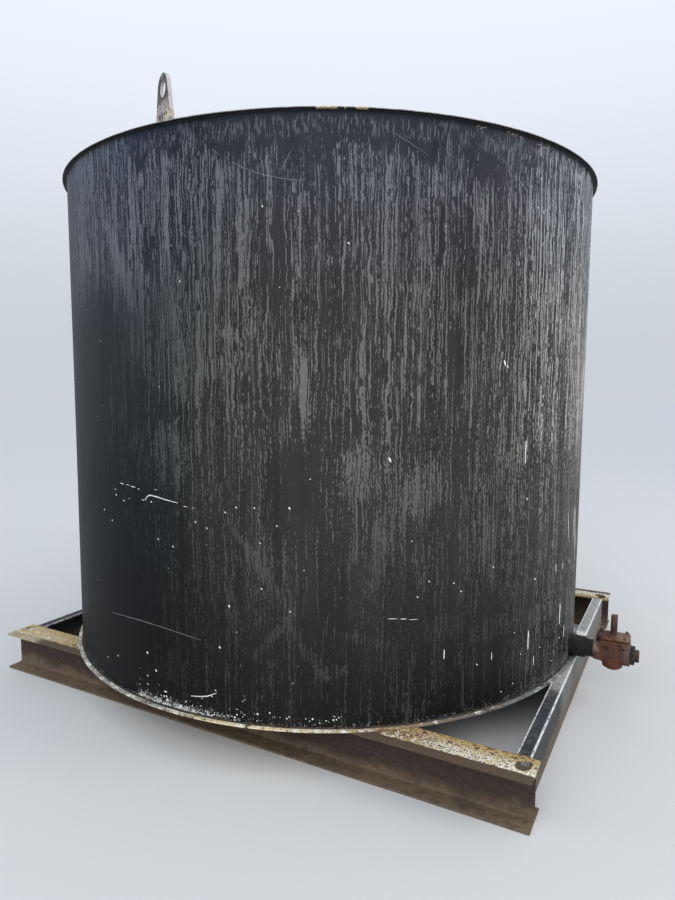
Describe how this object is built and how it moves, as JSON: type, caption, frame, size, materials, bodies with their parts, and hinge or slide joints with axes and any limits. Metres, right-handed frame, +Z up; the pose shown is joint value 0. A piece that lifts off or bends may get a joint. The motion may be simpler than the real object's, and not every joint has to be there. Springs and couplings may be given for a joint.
{
  "type": "vertical storage tank on a skid",
  "caption": "Welded steel vertical storage tank with a closed roof, lifting lugs and a low outlet valve, on a steel skid.",
  "frame": {"origin": "on the tank's axis at ground level, on the underside of the middle cross channel", "axes": "+Z up along the tank's axis, +X along the skid's runners towards the outlet valve"},
  "size_m": [3.2513, 2.946, 2.8667],
  "materials": {
    "shell_paint": "satin black paint, weathered with pale drip streaks",
    "roof_paint": "weathered black paint",
    "bottom_edge": "bare worn plate edge with dried mud",
    "skid_paint": "worn cream paint with rust",
    "channel_paint": "worn grey paint",
    "lug_paint": "black paint worn to primer",
    "nozzle_paint": "black paint",
    "rusty_iron": "rusted iron"
  },
  "bodies": {
    "tank": {"runner_near_left": "skid_paint", "runner_near_middle": "skid_paint", "runner_near_right": "skid_paint", "runner_far_left": "skid_paint", "runner_far_middle": "skid_paint", "runner_far_right": "skid_paint", "end_channel_left": "channel_paint", "cross_channel_left": "channel_paint", "cross_channel_middle": "channel_paint", "cross_channel_right": "channel_paint", "end_channel_right": "channel_paint", "bottom_plate": "bottom_edge", "shell_plate_01": "shell_paint", "shell_plate_02": "shell_paint", "shell_plate_03": "shell_paint", "shell_plate_04": "shell_paint", "shell_plate_05": "shell_paint", "shell_plate_06": "shell_paint", "shell_plate_07": "shell_paint", "shell_plate_08": "shell_paint", "shell_plate_09": "shell_paint", "shell_plate_10": "shell_paint", "shell_plate_11": "shell_paint", "shell_plate_12": "shell_paint", "roof_deck": "roof_paint", "lifting_lug_near": "lug_paint", "lifting_lug_far": "lug_paint", "outlet_coupling": "nozzle_paint", "outlet_nipple": "nozzle_paint", "valve_body": "rusty_iron", "valve_cover": "rusty_iron", "outlet_plug": "rusty_iron", "hatch_neck": "roof_paint", "hatch_cover": "roof_paint", "vent_coupling": "roof_paint", "vent_plug": "roof_paint"},
    "stem": {"valve_stem": "rusty_iron"}
  },
  "joints": [
    {"name": "stem_turn", "type": "hinge", "parent": "tank", "child": "stem", "pos_m": [1.656, 0, 0.26595], "axis": [0, 0, 1], "range_deg": [0, 90]}
  ]
}
